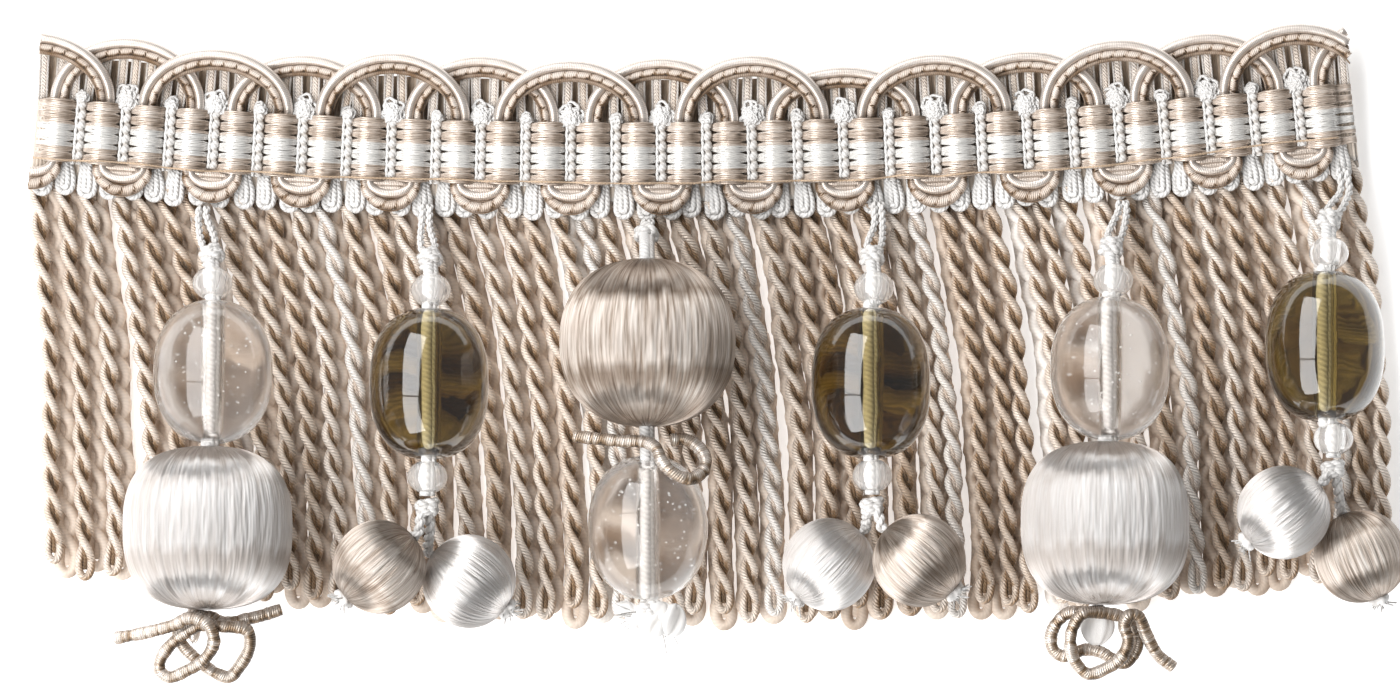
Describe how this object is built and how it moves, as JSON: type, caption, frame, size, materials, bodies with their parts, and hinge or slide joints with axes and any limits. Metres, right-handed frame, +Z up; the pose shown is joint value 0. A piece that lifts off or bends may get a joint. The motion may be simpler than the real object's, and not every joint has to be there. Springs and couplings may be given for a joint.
{
  "type": "beaded bullion fringe trim",
  "caption": "Cut length of bullion fringe with a gimp braid heading, hung with glass beads, silk-wound balls and corded bows, lying face up.",
  "frame": {"origin": "on the surface that the trim lies on, under the middle of its box", "axes": "+X along the trim, +Y across it towards the heading, +Z up out of its face"},
  "size_m": [0.1996, 0.0947, 0.0309],
  "materials": {
    "ground_yarn": "matte",
    "satin_cord": "satin",
    "crimped_cord": "satin",
    "satin_band": "satin",
    "taupe_cord": "satin",
    "rear_cord": "satin",
    "white_yarn": "matte",
    "clear_glass": "polished",
    "smoked_glass": "polished",
    "white_silk": "satin",
    "taupe_silk": "satin",
    "bow_cord": "satin"
  },
  "bodies": {
    "root": {"braid_ground": "ground_yarn", "gimp_front_satin": "satin_cord", "gimp_front_crimped": "crimped_cord", "gimp_rear_satin": "satin_cord", "gimp_rear_crimped": "crimped_cord", "satin_band": "satin_band", "skirt_front": "taupe_cord", "skirt_rear": "rear_cord", "string_1": "white_yarn", "string_2": "white_yarn", "string_3": "white_yarn", "string_4": "white_yarn", "string_5": "white_yarn", "string_6": "white_yarn", "bead_1": "clear_glass", "oval_1": "clear_glass", "ball_1": "white_silk", "bow_1": "bow_cord", "bead_2": "clear_glass", "oval_2": "smoked_glass", "bead_2_low": "clear_glass", "twin_2": "white_yarn", "ball_2_taupe": "taupe_silk", "ball_2_white": "white_silk", "ball_3": "taupe_silk", "bow_3": "bow_cord", "oval_3": "clear_glass", "tuft_3": "white_yarn", "bead_4": "clear_glass", "oval_4": "smoked_glass", "bead_4_low": "clear_glass", "twin_4": "white_yarn", "ball_4_white": "white_silk", "ball_4_taupe": "taupe_silk", "bead_5": "clear_glass", "oval_5": "clear_glass", "ball_5": "white_silk", "bow_5": "bow_cord", "bead_6": "clear_glass", "oval_6": "smoked_glass", "bead_6_low": "clear_glass", "twin_6": "white_yarn", "ball_6_white": "white_silk", "ball_6_taupe": "taupe_silk"}
  },
  "joints": []
}
